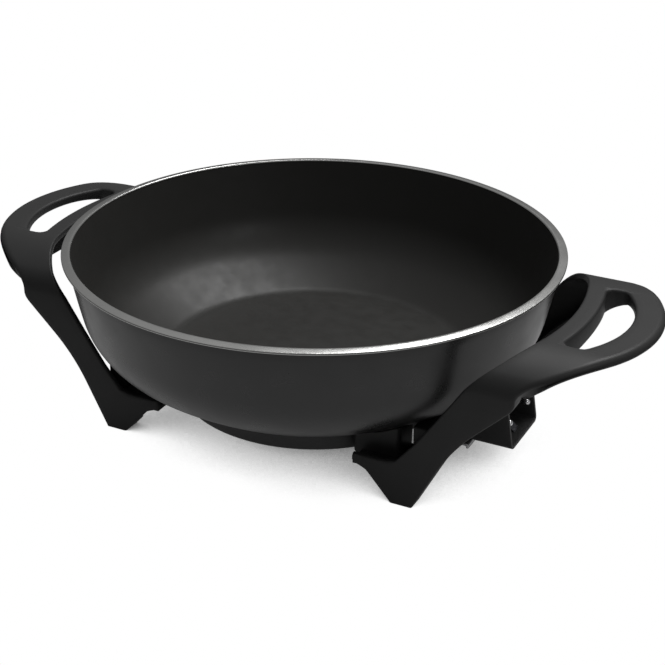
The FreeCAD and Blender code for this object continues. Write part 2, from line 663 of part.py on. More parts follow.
def make_terminals():
    for name, kind in (("terminal_pins", "pin"), ("pin_insulators", "bush"), ("sheath_seals", "seal"),
                       ("sheath_retainers", "retainer")):
        finished(name, group(f"{name}_group", [terminal(name, kind, sign) for sign in (1, -1)]))

    body = new_body("probe_socket")
    profile = sketch_on(body, "probe_profile", "XZ_Plane")
    outline(profile, [
        ("probe_start", AXIS_HEIGHT), ("probe_start", f"{AXIS_HEIGHT} + probe_radius"),
        ("panel_end", f"{AXIS_HEIGHT} + probe_radius"), ("panel_end", f"{AXIS_HEIGHT} + flange_radius"),
        ("panel_end + flange_thick", f"{AXIS_HEIGHT} + flange_radius"),
        ("panel_end + flange_thick", f"{AXIS_HEIGHT} + probe_radius"),
        ("panel_end + probe_reach", f"{AXIS_HEIGHT} + probe_radius"),
        ("panel_end + probe_reach", f"{AXIS_HEIGHT} + probe_bore"),
        ("probe_start + probe_bottom", f"{AXIS_HEIGHT} + probe_bore"),
        ("probe_start + probe_bottom", AXIS_HEIGHT),
    ])
    ends = [FreeCAD.Vector(across, number(AXIS_HEIGHT), 0) for across in (0, number("probe_start"))]
    line = profile.addGeometry(Part.LineSegment(*ends), True)
    for end, across in ((1, "0"), (2, "probe_start")):
        constrain(profile, "DistanceX", (line, end), across)
        constrain(profile, "DistanceY", (line, end), AXIS_HEIGHT)
    turned(body, "Revolution", profile, "Axis0")


# ---------------------------------------------------------------- inlet shroud, bracket and earth contact

def make_shroud():
    """A box round the terminals, open to the right, with a back panel and an open chamber behind it."""
    body = new_body("inlet_shroud")
    half, corner, foot = "shroud_half", "shroud_corner", "cap_height"
    start, end, slope_start = "cap_radius + shroud_gap", SOCKET_END, "panel_end + slope_gap"
    section = sketch_on(body, "shroud_section", "YZ_Plane", start)
    outline(section, [
        (f"{half} - {corner}", foot), (half, f"{foot} + {corner}", corner), (half, f"shroud_top - {corner}"),
        (f"{half} - {corner}", "shroud_top", corner), (f"{corner} - {half}", "shroud_top"),
        (f"-{half}", f"shroud_top - {corner}", corner), (f"-{half}", f"{foot} + {corner}"),
        (f"{corner} - {half}", foot, corner),
    ])
    swept(body, "Pad", section, f"{end} - cap_radius - shroud_gap")
    slope = sketch_on(body, "shroud_slope", "XZ_Plane")
    outline(slope, [(f"{slope_start} - slope_run", "slope_foot"), (slope_start, "shroud_top"),
                    (slope_start, "shroud_top + 2"), ("cap_radius - 1", "shroud_top + 2"),
                    ("cap_radius - 1", "slope_foot")])
    swept(body, "Pocket", slope, "shroud_half * 2 + 2", symmetric=True)
    lean = sketch_on(body, "shroud_mouth", "XZ_Plane")
    lean_end = f"{end} - mouth_lean * (shroud_top + 1 - {foot}) / (shroud_top - {foot})"
    outline(lean, [(end, foot), (f"{end} + 1", foot), (f"{end} + 1", "shroud_top + 1"),
                   (lean_end, "shroud_top + 1")])
    swept(body, "Pocket", lean, "shroud_half * 2 + 2", symmetric=True)
    inner = "shroud_half - shroud_wall"
    socket = sketch_on(body, "shroud_socket", "YZ_Plane", "panel_end")
    rectangle(socket, f"-({inner})", f"{foot} + shroud_wall", inner, "shroud_top - shroud_wall")
    swept(body, "Pocket", socket, "socket_depth", reverse=True)
    chamber = sketch_on(body, "shroud_chamber", "YZ_Plane", start)
    rectangle(chamber, f"-({inner})", f"{foot} + shroud_wall", inner, "shroud_top + 1")
    swept(body, "Pocket", chamber, "panel_end - panel_thick - cap_radius - shroud_gap", reverse=True)
    ports = sketch_on(body, "shroud_ports", "YZ_Plane", "panel_end - panel_thick")
    circle(ports, "0", AXIS_HEIGHT, "probe_radius + fit_gap")
    for side in ("leg_spacing / 2", "-leg_spacing / 2"):
        circle(ports, side, AXIS_HEIGHT, "sheath_radius + fit_gap")
    swept(body, "Pocket", ports, "panel_thick", reverse=True)
    holes = sketch_on(body, "shroud_holes", "XY_Plane", foot)
    for side in ("rivet_along", "-rivet_along"):
        circle(holes, "rivet_across", side, "bracket_shank")
    circle(holes, "panel_end + earth_screw_reach", "0", "earth_shank")
    swept(body, "Pocket", holes, "shroud_wall", reverse=True)


def make_bracket():
    """A steel strap under cap and shroud, its far edge bent down as a stiff lip."""
    under = "cap_height - strap_thick"
    tongue = block("strap_tongue", "strap_neck - strap_start", "strap_tongue * 2", "strap_thick",
                   "strap_start", "-strap_tongue", under)
    floor = block("strap_floor", "strap_end - strap_neck", "strap_half * 2", "strap_thick", "strap_neck",
                  "-strap_half", under)
    lip = block("strap_lip", "strap_thick", "strap_half * 2", "strap_lip",
                "strap_end - strap_thick", "-strap_half", "cap_height - strap_lip")
    spots = [("rivet_across", "rivet_along"), ("rivet_across", "-rivet_along"),
             ("bracket_screw", "bracket_along"), ("bracket_screw", "-bracket_along")]
    holes = [rod(f"strap_hole_{index}", "bracket_shank + fit_gap", "strap_thick * 3", x, y,
                 f"{under} - strap_thick") for index, (x, y) in enumerate(spots)]
    finished("shroud_bracket", cut("strap", joined("strap_blank", [tongue, floor, lip]), holes))
    screws("bracket_screws", spots, under, "bracket_head", "bracket_head_height", "bracket_shank",
           "strap_thick + shroud_wall")


def make_earth():
    """A spring strip from the shroud's mouth to the flange of the probe's socket."""
    low = "cap_height + shroud_wall"
    high = f"{low} + earth_thick"
    touch = f"{AXIS_HEIGHT} - flange_radius - fit_gap"
    end, spot = "panel_end + earth_reach", "panel_end + earth_screw_reach"
    strip = prism("earth_strip", "XZ", lambda sketch: outline(sketch, [
        ("panel_end", low), (f"{end} - earth_bow * 3", low),
        (f"{end} - earth_bow * 1.5", f"{low} + earth_bow"), (end, low), (end, high),
        (f"{end} - earth_bow * 1.5", f"{high} + earth_bow"), (f"{end} - earth_bow * 3", high),
        ("panel_end + earth_thick", high), ("panel_end + earth_thick", touch), ("panel_end", touch),
    ]), "earth_half * 2", symmetric=True)
    hole = rod("earth_hole", "earth_shank + fit_gap", "earth_thick * 3", spot, "0", f"{low} - earth_thick")
    finished("earth_contact", cut("earth_spring", strip, [hole]))
    head = rod("earth_screw_head", "earth_head", "bracket_head_height", spot, "0", high)
    shank = rod("earth_screw_shank", "earth_shank", "shroud_wall + earth_thick", spot, "0", "cap_height")
    finished("earth_screw", joined("earth_screw_solid", [head, shank]))


# ---------------------------------------------------------------- build, test and write

make_bowl()
space = bowl_clearance()
make_handle("handle_right", 0, space)
make_handle("handle_left", 180, space)
make_handle_fasteners()
make_base()
make_element()
make_terminals()
make_shroud()
make_bracket()
make_earth()
doc.recompute()

failed = [item.Name for item in doc.Objects if "Invalid" in item.State or "Error" in item.State]
failed += [part.Label for part in parts if part.Shape.isNull() or not part.Shape.isValid()]
if failed:
    raise RuntimeError(f"these objects failed: {failed}")

os.makedirs("parts", exist_ok=True)
for part in parts:
    part.Shape.exportStep(os.path.join("parts", f"{part.Label}.step"))
    box = part.Shape.optimalBoundingBox()
    print(f"{part.Label:18s} solids {len(part.Shape.Solids)}  volume {part.Shape.Volume / 1000:8.2f} cm3"
          f"  x {box.XMin:.1f}..{box.XMax:.1f}  y {box.YMin:.1f}..{box.YMax:.1f}"
          f"  z {box.ZMin:.1f}..{box.ZMax:.1f}")
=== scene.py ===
"""Electric wok: the dressed object on a plain floor.

Metres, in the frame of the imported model: +X towards the handle over the inlet, -Y the front, +Z up. The
meshes are worked out in millimetres, and surface() makes them metres.
"""

import bpy
import numpy as np
from mathutils import Matrix


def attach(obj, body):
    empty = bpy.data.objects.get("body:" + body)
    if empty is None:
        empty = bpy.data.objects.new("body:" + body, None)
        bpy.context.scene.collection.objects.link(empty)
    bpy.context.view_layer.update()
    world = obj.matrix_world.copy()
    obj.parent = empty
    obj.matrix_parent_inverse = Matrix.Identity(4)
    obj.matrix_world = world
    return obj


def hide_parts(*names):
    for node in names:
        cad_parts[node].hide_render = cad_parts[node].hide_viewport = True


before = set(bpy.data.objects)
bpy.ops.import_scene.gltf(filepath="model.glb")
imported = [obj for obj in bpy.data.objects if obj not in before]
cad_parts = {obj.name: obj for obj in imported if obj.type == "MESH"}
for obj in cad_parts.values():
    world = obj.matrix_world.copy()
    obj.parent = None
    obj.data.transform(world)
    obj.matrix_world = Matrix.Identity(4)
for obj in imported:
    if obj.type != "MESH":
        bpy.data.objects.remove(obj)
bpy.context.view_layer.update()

scene = bpy.context.scene
scene.view_settings.view_transform = "Standard"


# ---------------------------------------------------------------- camera
# It stands in front, towards the inlet's side, and looks down into the bowl with a slight roll.

CAMERA_PLACE = (0.4429, -0.8692, 0.5338)
YAW, PITCH, ROLL = 0.458, 0.451, 0.011


def stand(thing, right, up, back, place):
    """Set an object's three axes and its place: they are the columns of its matrix."""
    rows = np.column_stack([right, up, back, place]).tolist()
    thing.matrix_world = Matrix([*rows, [0, 0, 0, 1]])


forward = np.array([-np.sin(YAW) * np.cos(PITCH), np.cos(YAW) * np.cos(PITCH), -np.sin(PITCH)])
plain_right = np.array([np.cos(YAW), np.sin(YAW), 0.0])
plain_up = np.cross(plain_right, forward)
camera = bpy.data.objects.new("camera", bpy.data.cameras.new("camera"))
camera.data.sensor_width = 36
camera.data.lens = 81.74
stand(camera, np.cos(ROLL) * plain_right + np.sin(ROLL) * plain_up,
      np.cos(ROLL) * plain_up - np.sin(ROLL) * plain_right, -forward, CAMERA_PLACE)
scene.collection.objects.link(camera)
scene.camera = camera


# ---------------------------------------------------------------- bowl
# The bowl is one aluminium casting, turned inside and out: charcoal coat outside, black non-stick coat
# inside, and a rim left bright where the lathe faced it off. It rests on the handle mouldings by four
# screwed bosses.

MM = 0.001
BASE, WALL = 40, 3
RIM_FOOT, RIM_RADIUS, RIM_TOP = 130.5, 175, 132.7


def surface(name, shell, slot, node, *finishes, finish_of=None):
    """A smooth mesh in the place of a node, from a shell: an array of points and one of four-sided faces.

    Points at one place become one, and a face that this leaves with three corners becomes a triangle. Where
    the volume inside, the sum of each corner triple's product, comes out negative, all faces are turned
    round. finish_of gives, for each face, the place of its material in finishes.
    """
    points, faces = shell
    points, merged = np.unique(np.round(points, 4), axis=0, return_inverse=True)
    faces = merged.reshape(-1)[faces]
    a, b, c, d = (points[faces[:, corner]] for corner in range(4))
    if np.sum(a * (np.cross(b, c) + np.cross(c, d))) < 0:
        faces = faces[:, ::-1]
    corners = faces != np.roll(faces, 1, axis=1)
    whole = corners.sum(axis=1) > 2
    faces, corners = faces[whole], corners[whole]
    mesh = bpy.data.meshes.new(name)
    mesh.vertices.add(len(points))
    mesh.vertices.foreach_set("co", points.astype(np.float32).ravel() * MM)
    mesh.loops.add(corners.sum())
    mesh.loops.foreach_set("vertex_index", faces[corners].astype(np.int32))
    mesh.polygons.add(len(faces))
    starts = np.cumsum(corners.sum(axis=1)) - corners.sum(axis=1)
    mesh.polygons.foreach_set("loop_start", starts.astype(np.int32))
    mesh.polygons.foreach_set("use_smooth", np.ones(len(faces), dtype=bool))
    for finish in finishes:
        mesh.materials.append(finish)
    if finish_of is not None:
        mesh.polygons.foreach_set("material_index", np.asarray(finish_of, dtype=np.int32)[whole])
    mesh.update(calc_edges=True)
    mesh.set_sharp_from_angle(angle=np.radians(40))
    piece = bpy.data.objects.new(name, mesh)
    scene.collection.objects.link(piece)
    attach(piece, "root")
    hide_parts(node)
    return piece


def grid_faces(rows, columns, close_rows=False, close_columns=False):
    """Faces of a grid of points, counted row by row, whose last row or column may join the first."""
    row = np.arange(rows if close_rows else rows - 1)[:, None]
    column = np.arange(columns if close_columns else columns - 1)[None, :]
    next_row, next_column = (row + 1) % rows, (column + 1) % columns
    return np.stack([row * columns + column, row * columns + next_column,
                     next_row * columns + next_column, next_row * columns + column], axis=-1).reshape(-1, 4)


def swung(profile, angles):
    """Grid of points of a profile (radius, height) swung about the vertical axis to each angle."""
    radius, height = np.asarray(profile, dtype=float).T
    angles = angles[:, None]
    return np.stack([radius * np.cos(angles), radius * np.sin(angles),
                     np.broadcast_to(height, (len(angles), len(height)))], axis=-1)


def turned(profile, around=48, close=False):
    """The shell of a profile (radius, height) turned full circle; close joins its last point to its first."""
    grid = swung(profile, np.linspace(0, 2 * np.pi, around, endpoint=False))
    return grid.reshape(-1, 3), grid_faces(around, len(profile), close_rows=True, close_columns=close)


def rounded_profile(corners, radii, steps):
    """A polyline whose corners are circular arcs, each of its own radius and touching both its sides."""
    corners = np.asarray(corners, dtype=float)
    before, after = np.roll(corners, 1, axis=0) - corners, np.roll(corners, -1, axis=0) - corners
    before /= np.linalg.norm(before, axis=1)[:, None]
    after /= np.linalg.norm(after, axis=1)[:, None]
    half = np.arccos(np.clip(np.sum(before * after, axis=1), -1, 1)) / 2
    radii = np.asarray(radii, dtype=float)
    reach = radii / np.tan(half)
    start, end = corners + before * reach[:, None], corners + after * reach[:, None]
    middle = before + after
    centre = corners + middle / np.linalg.norm(middle, axis=1)[:, None] * (radii / np.sin(half))[:, None]
    share = np.linspace(0, 1, steps)[None, :, None]
    chord = (start - centre)[:, None, :] * (1 - share) + (end - centre)[:, None, :] * share
    length = np.linalg.norm(chord, axis=2, keepdims=True)
    arcs = centre[:, None, :] + chord / np.maximum(length, 1e-9) * radii[:, None, None]
    return arcs.reshape(-1, 2)


def bowl_side(inwards, steps=14):
    """(radius, height) along the outer face moved inwards: toe, flank, shoulder and wall.

    Each is an arc of a radius up to an angle from the vertical, and starts where the last one ends, tangent
    to it.
    """
    points = []
    before = 0.0
    place = np.array([108.0, BASE + inwards])
    for radius, angle in ((20, 29.8), (270, 35.9), (55, 77.2), (860, 79.74)):
        turn = np.radians(np.linspace(before, angle, steps))
        arc = np.stack([np.sin(turn), -np.cos(turn)], axis=1) * (radius - inwards)
        points.append(place + arc - arc[0])
        place = points[-1][-1]
        before = angle
    return np.concatenate([points[0], *[arc[1:] for arc in points[1:]]])


def material(name, colour, **settings):
    """A Principled material with the settings that are the same all over."""
    made = bpy.data.materials.new(name)
    made.use_nodes = True
    shader = made.node_tree.nodes["Principled BSDF"]
    shader.inputs["Base Color"].default_value = (*colour, 1)
    for socket, value in settings.items():
        shader.inputs[socket.replace("_", " ")].default_value = value
    return made, shader


def add(made, kind, inputs=None, **fields):
    """A node in a material or a group, with its inputs set to values or linked to sockets."""
    tree = getattr(made, "node_tree", made)
    node = tree.nodes.new(kind)
    for field, value in fields.items():
        setattr(node, field, value)
    for socket, value in (inputs or {}).items():
        if isinstance(value, bpy.types.NodeSocket):
            tree.links.new(value, node.inputs[socket])
        else:
            node.inputs[socket].default_value = value
    return node


def mottle(name, size, detail, low, high):
    """A node group that turns noise of a size, in metres, into a value between two limits, and a grain."""
    group = bpy.data.node_groups.new(name, "ShaderNodeTree")
    group.interface.new_socket("Value", in_out="OUTPUT", socket_type="NodeSocketFloat")
    group.interface.new_socket("Grain", in_out="OUTPUT", socket_type="NodeSocketFloat")
    place = add(group, "ShaderNodeTexCoord").outputs["Object"]
    cloud = add(group, "ShaderNodeTexNoise", {"Vector": place, "Scale": 1 / size, "Detail": detail})
    spread = add(group, "ShaderNodeMapRange", {
        "Value": cloud.outputs["Fac"], "From Min": 0.3, "From Max": 0.7, "To Min": low, "To Max": high})
    grain = add(group, "ShaderNodeTexNoise", {"Vector": place, "Scale": 16 / size, "Detail": 2})
    add(group, "NodeGroupOutput", {"Value": spread.outputs["Result"], "Grain": grain.outputs["Fac"]})
    return group


def clouded(name, colour, cloud, grain, **settings):
    """A Principled material whose roughness wanders over the piece, with a fine grain on it.

    cloud is the noise's size in metres, its detail, and the least and the greatest roughness. grain is the
    bump's height in metres and its strength.
    """
    made, shader = material(name, colour, **settings)
    height, strength = grain
    node = add(made, "ShaderNodeGroup", node_tree=mottle(f"{name}_cloud", *cloud))
    bump = add(made, "ShaderNodeBump", {
        "Height": node.outputs["Grain"], "Strength": strength, "Distance": height})
    made.node_tree.links.new(node.outputs["Value"], shader.inputs["Roughness"])
    made.node_tree.links.new(bump.outputs["Normal"], shader.inputs["Normal"])
    return made


charcoal = clouded("charcoal_coat", (0.014, 0.014, 0.014), (0.02, 3, 0.26, 0.34), (0.00001, 0.1),
                   Specular_IOR_Level=0.42)
bright = clouded("bright_rim", (0.5, 0.5, 0.49), (0.02, 2, 0.22, 0.27), (0.000003, 0.05), Metallic=1.0)
nonstick = clouded("nonstick_coat", (0.024, 0.0236, 0.0222), (0.01, 3, 0.36, 0.46), (0.00002, 0.4),
                   Specular_IOR_Level=0.2)

# up the outside, round the neck and the rim's sloping face, and down the inside to the middle
outside, inside = bowl_side(0), bowl_side(WALL)
neck = rounded_profile([(171.4, RIM_FOOT), (RIM_RADIUS, RIM_FOOT), (RIM_RADIUS, 131.9), (170.4, RIM_TOP),
                        (169.1, RIM_TOP), (168.2, 131.6)], [0.5, 0.35, 0.6, 3, 0.5, 0.4], 5)
profile = np.concatenate([[(0, BASE), (60, BASE)], outside[:-1], neck, inside[-2::-1],
                          [(60, BASE + WALL), (0, BASE + WALL)]])
height = (profile[1:, 1] + profile[:-1, 1]) / 2
coat = np.where(height > RIM_FOOT + 0.1, 1, 0)
coat[len(outside) + len(neck):] = 2
AROUND = 256
surface("bowl_casting", turned(profile, AROUND), "coated_casting", "bowl", charcoal, bright, nonstick,
        finish_of=np.tile(coat, AROUND))

# the places of the bosses in plan, and of the posts for the cap's screws and for the clamp's
BOSSES = [(86, 66), (86, -66), (-86, 66), (-86, -66)]
CAP_CIRCLE, CLAMP_CIRCLE = 80, 50


def together(shells):
    """The points and faces of several shells as one mesh."""
    starts = np.cumsum([0] + [len(points) for points, _ in shells[:-1]])
    return (np.concatenate([points for points, _ in shells]),
            np.concatenate([faces + start for (_, faces), start in zip(shells, starts)]))


def moved(shell, place=(0, 0, 0), flip=(1, 1, 1)):
    """A shell mirrored by the signs in flip, its faces turned back outwards, and then moved to a place."""
    points, faces = shell
    return points * np.array(flip) + np.array(place), faces if np.prod(flip) > 0 else faces[:, ::-1]


def post(place, foot, radius, bore):
    """A drilled post of the casting: a chamfered cylinder that ends in the bowl's wall, with a blind bore."""
    shell = turned([(0, BASE - 1.5), (bore, BASE - 2.5), (bore, foot + 0.4), (bore + 0.4, foot),
                    (radius - 0.5, foot), (radius, foot + 0.5), (radius, BASE + 1.5), (0, BASE + 1.5)])
    return moved(shell, (*place, 0))


def on_circle(radius):
    """The three places, a third of a turn apart, where the posts stand on a circle."""
    turn = np.radians([60, 180, 300])
    return np.stack([np.cos(turn), np.sin(turn)], axis=1) * radius


posts = [post(place, 34, 6, 2.5) for place in BOSSES]
posts += [post(place, 21.5, 4.5, 1.8) for place in on_circle(CAP_CIRCLE)]
posts += [post(place, 31.9, 4.5, 1.6) for place in on_circle(CLAMP_CIRCLE)]
surface("bowl_posts", together(posts), "coated_casting", "bowl", charcoal)


# ---------------------------------------------------------------- handle mouldings
# Each handle is one black phenolic moulding: a leg front and rear, a shoulder over each leg and a loop for
# the hand. It is a shell with a rib along the legs' outer edges, and it is screwed up into the bowl's
# bosses.

# the legs' plates stand this far from the middle plane; places along the arch from the sole: where the
# shoulder starts, where its bend opens, where the level crown starts, and the crown's middle
STANCE = 93
SHOULDER, BEND, CROWN, ARCH = 93.41, 112.68, 148.08, 198.08
TOE, TOE_TOP = 8, 45.5
# in plan the loop and the hole's outer side are arcs about one centre, and the hole's bowl side is one
# about the bowl's axis; the hole's ends are arcs about points this far from the middle plane
LOOP_CENTRE, LOOP_RADIUS = 147.5, 100
HOLE_OUTER, HOLE_INNER, HOLE_END, HOLE_CORNER = 80, 203, 43, 5
HOLE_HALF = HOLE_END + HOLE_CORNER
# the bowl-side edge lies on a cone about the bowl's axis: its radius at a height, and how fast that grows
HUG_RADIUS, HUG_HEIGHT, HUG_GROWTH = 190, 118.4, 0.55
# from here outwards the grip is solid; thickness of the legs' and the roof's plates, and the rib's depth
GRIP = 195
LEG_PLATE, ROOF_PLATE, RIB = 4, 4.4, 14.5

moulding = clouded("black_moulding", (0.024, 0.024, 0.024), (0.03, 3, 0.4, 0.5), (0.00003, 0.4),
                   Specular_IOR_Level=0.18)


def leg_edge(height):
    """x of the legs' outer edge at a height: straight foot, an arc that bends outwards, straight brow."""
    bend = 248.4 - np.sqrt(127 ** 2 - (np.clip(height, 31, 65) + 26.2) ** 2)
    brow = 160 + 32 * (height - 65) / 31
    return np.where(height < 31, 119 + 16 * height / 31, np.where(height < 65, bend, brow))


def underside(across):
    """Height of the loop's underside: an arc that rises from the legs' brow, then level."""
    return np.where(across < 192, 96 + (across - 192) * 31 / 32,
                    56 + np.sqrt(56 ** 2 - np.clip(231 - across, 0, 39) ** 2))


def away(places, line):
    """Distance in a plane of each place from a line given by its points."""
    start, along = line[:-1], np.diff(line, axis=0)
    gap = places[..., None, :] - start
    share = np.clip(np.sum(gap * along, axis=-1) / np.sum(along * along, axis=-1), 0, 1)
    return np.linalg.norm(gap - share[..., None] * along, axis=-1).min(axis=-1)


def rounding(distance, radius):
    """How far a quarter-round edge of that radius has dropped at a distance from the edge."""
    inside = np.clip(radius - distance, 0, radius)
    return radius - np.sqrt(radius ** 2 - inside ** 2)


def two_skins(top, bottom, cells):
    """A closed solid between two grids of points: the kept cells of each grid, and walls round their borders.

    An edge that only one kept cell has is on a border, and a wall joins it to the same edge of the other
    grid.
    """
    size = top.size // 3
    edges = np.stack([cells, np.roll(cells, -1, axis=1)], axis=-1).reshape(-1, 2)
    keys = edges.min(axis=1) * size + edges.max(axis=1)
    _, place, count = np.unique(keys, return_index=True, return_counts=True)
    border = edges[place[count == 1]]
    walls = np.stack([border[:, 1], border[:, 0], border[:, 0] + size, border[:, 1] + size], axis=1)
    faces = np.concatenate([cells, cells[:, ::-1] + size, walls])
    used, faces = np.unique(faces, return_inverse=True)
    return np.concatenate([top.reshape(-1, 3), bottom.reshape(-1, 3)])[used], faces.reshape(-1, 4)


# the arch from a foot over the shoulder to the middle of the crown, as its slope added up along the way
way = np.linspace(0, ARCH, 4000)
slope = np.radians(np.interp(way, [0, SHOULDER, BEND, CROWN, ARCH], [0, 0, 60, 90, 90]))
step = np.diff(way, prepend=0)
arch_across = STANCE - np.cumsum(np.sin(slope) * step)
arch_up = np.cumsum(np.cos(slope) * step)

# rows: level ones through the sole, a fan round the toe, level ones up the leg, the shoulder and the crown
sole = np.array([0, 0.8, 2, 4, 6, 7, 7.3, TOE])
toe_way = np.linspace(0, 1, 30)[1:]
toe_keys = np.cumsum([0, 16.1, 10.8, 6, 24, 7.3, 16.7]) / 80.9
toe_in = np.stack([np.interp(toe_way, toe_keys, [95.8, 85, 75, 75, 99, 106, 117.3]),
                   np.interp(toe_way, toe_keys, [TOE, 20, 24, 30, 30, 32, TOE_TOP])], axis=1)
toe_out = np.interp(toe_way, toe_keys, [TOE, 13, 16.5, 19, 30, 33, TOE_TOP])
hole_turn = HOLE_END + HOLE_CORNER * np.cos(np.linspace(0, np.pi / 2, 10))
from_middle = np.concatenate([[49.9, 49.3, 48.8, 48.4, 48.15], hole_turn, np.linspace(HOLE_END, 0, 20)[1:]])
level = np.concatenate([np.linspace(TOE_TOP, SHOULDER, 20)[1:], np.linspace(SHOULDER, BEND, 16)[1:],
                        np.linspace(BEND, CROWN, 20)[1:], ARCH - from_middle])
level_across, level_up = np.interp(level, way, arch_across), np.interp(level, way, arch_up)

# the border at the bowl, and outside the leg's edge blended over 8 mm into the loop's arc
hug = np.sqrt((HUG_RADIUS - HUG_GROWTH * (HUG_HEIGHT - level_up)) ** 2 - level_across ** 2)
plan = LOOP_CENTRE + np.sqrt(LOOP_RADIUS ** 2 - level_across ** 2)
brow = leg_edge(np.minimum(level_up, 100))
blend = np.clip(0.5 + (plan - brow) / 8, 0, 1)
reach = np.where(level < 100, plan * (1 - blend) + brow * blend - 4 * blend * (1 - blend), plan)
row_in = np.concatenate([np.stack([103 - 0.9 * sole, sole], axis=1), toe_in, np.stack([hug, level], axis=1)])
row_out = np.concatenate([np.stack([leg_edge(sole), sole], axis=1),
                          np.stack([leg_edge(toe_out), toe_out], axis=1), np.stack([reach, level], axis=1)])
beside = np.interp(row_in[:, 1], way, arch_across)

width = np.linalg.norm(row_out - row_in, axis=1)
ruling = (row_out - row_in) / width[:, None]


def slant(border):
    """A way along a row over its distance from the border: one over the sine of the angle between them."""
    tangent = np.gradient(border, axis=0)
    cross = np.abs(ruling[:, 0] * tangent[:, 1] - ruling[:, 1] * tangent[:, 0])
    return 1 / np.clip(cross / np.linalg.norm(tangent, axis=1), 0.2, 1)


# columns: round edges at the bowl and outside, the wall where the grip turns solid, the two sides of the hole
IN_ROUND, HOLE_ROUND = 1.4, 2.2
quarter = 1 - np.cos(np.linspace(0, np.pi / 2, 6))
out_round = np.interp(row_out[:, 1], [0, 88, 110, 150], [1.2, 1.4, 4.0, 4.4])
by_bowl = IN_ROUND * quarter[None, :] * slant(row_in)[:, None]
in_from_edge = np.concatenate([
    [5.3, 4.8] * np.ones((len(width), 1)), out_round[:, None] * quarter[None, ::-1]], axis=1)
by_edge = width[:, None] - in_from_edge * np.minimum(slant(row_out), 2.6)[:, None]
start, end = by_bowl[:, -1:], by_edge[:, :1]
grip_wall = np.clip(GRIP - row_in[:, :1], start + 1, end - 1)
beside_hole = np.clip(beside, 0, HOLE_HALF)
end_arc = np.sqrt(np.clip(HOLE_CORNER ** 2 - (beside_hole - HOLE_END) ** 2, 0, HOLE_CORNER ** 2))
hole_in = np.where(beside_hole < 41.97, np.sqrt(HOLE_INNER ** 2 - beside_hole ** 2), 203.5 - end_arc)
hole_out = np.where(beside_hole < 45.87, LOOP_CENTRE + np.sqrt(HOLE_OUTER ** 2 - beside_hole ** 2),
                    208.95 + end_arc)
at_hole = np.concatenate([
    hole_in[:, None] - HOLE_ROUND * quarter[::-1],
    hole_in[:, None] + (hole_out - hole_in)[:, None] * np.linspace(0, 1, 7)[1:-1],
    hole_out[:, None] + HOLE_ROUND * quarter], axis=1) - row_in[:, :1]
at_end = np.argmin(np.abs(beside - HOLE_HALF))
share = (at_hole[at_end] - grip_wall[at_end]) / (end[at_end] - grip_wall[at_end])
beside_is_hole = beside <= HOLE_HALF + 0.01
middle = np.where(beside_is_hole[:, None], at_hole, grip_wall + (end - grip_wall) * share)
thirds = np.array([1, 2]) / 3
columns = np.concatenate([
    by_bowl, start + (grip_wall - 0.2 - start) * thirds, grip_wall - 0.2, grip_wall + 0.2, middle,
    middle[:, -1:] + (end - middle[:, -1:]) * thirds, by_edge], axis=1)
flat = row_in[:, None, :] + ruling[:, None, :] * columns[:, :, None]

# the outer skin: the flat pattern lifted on to the arch, with its edges rounded
across, along = flat[..., 0], np.clip(flat[..., 1], 0, ARCH)
tilt = np.interp(along, way, slope)
base = np.stack([across, np.interp(along, way, arch_across), np.interp(along, way, arch_up)], axis=-1)
outwards = np.stack([0 * tilt, np.cos(tilt), np.sin(tilt)], axis=-1)
rim_y = np.linspace(0, HOLE_HALF, 60)
rim_sides = [np.stack([np.interp(rim_y, beside_hole[::-1], side[::-1]), ARCH - rim_y], axis=1)
             for side in (hole_in, hole_out)]
from_edge, from_bowl = away(flat, row_out), away(flat, row_in)
from_hole = away(flat, np.concatenate([rim_sides[0], rim_sides[1][::-1]]))
drop = np.maximum.reduce([rounding(from_edge, np.interp(along, row_out[:, 1], out_round)),
                          rounding(from_bowl, IN_ROUND), rounding(from_hole, HOLE_ROUND)])
skin = base - outwards * drop[..., None]

# the lining: a plate's thickness behind the skin, deeper along the legs' edges, at the sole and in the grip
under_round = np.minimum(1.2 + 0.6 * (along > 112), 1.8)
lift = np.maximum.reduce([
    rounding(from_edge, under_round), rounding(from_bowl, 1.0), rounding(from_hole, 1.6)])
hollow = base - outwards * (np.interp(along, [93, 113], [LEG_PLATE, ROOF_PLATE]) - lift)[..., None]
lean = np.clip(1.5 * tilt, 0, np.pi / 2)
downwards = np.stack([0 * lean, np.cos(lean), np.sin(lean)], axis=-1)
to_underside = (base[..., 2] - underside(across)) / np.maximum(np.sin(lean), 0.4)
depth = np.where(lean > 0.6, np.minimum(to_underside, np.where(across > GRIP - 1, 30, RIB)), RIB)
thick = base - downwards * (np.maximum(depth, ROOF_PLATE) - lift)[..., None]
is_thick = (across > GRIP) | (from_edge < 5.05) | (along < 7.15)
lining = np.where(is_thick[..., None], thick, hollow)

# front half and rear half as one grid, with the hole's cells left out
mirror = np.array([1, -1, 1])
top = np.concatenate([skin * mirror, skin[-2::-1]])
bottom = np.concatenate([lining * mirror, lining[-2::-1]])
keep = np.ones((len(top) - 1, top.shape[1] - 1), dtype=bool)
in_hole = np.concatenate([beside_is_hole, beside_is_hole[-2::-1]])
hole_column = by_bowl.shape[1] + 4 + len(quarter) - 1
keep[:, hole_column:hole_column + 6] = ~(in_hole[1:] & in_hole[:-1])[:, None]
arch = two_skins(top, bottom, grid_faces(*top.shape[:2])[keep.ravel()])
surface("handle_right_moulding", arch, "black_moulding", "handle_right", moulding)
surface("handle_left_moulding", moved(arch, flip=(-1, -1, 1)), "black_moulding", "handle_left", moulding)


# ---------------------------------------------------------------- seats of the handles
# Under the bowl each leg carries a block that a boss of the bowl stands in, a slot and a stay beside it,
# all on a floor behind the leg's plate. They are moulded in one with the handle, and a screw goes up
# through the block.

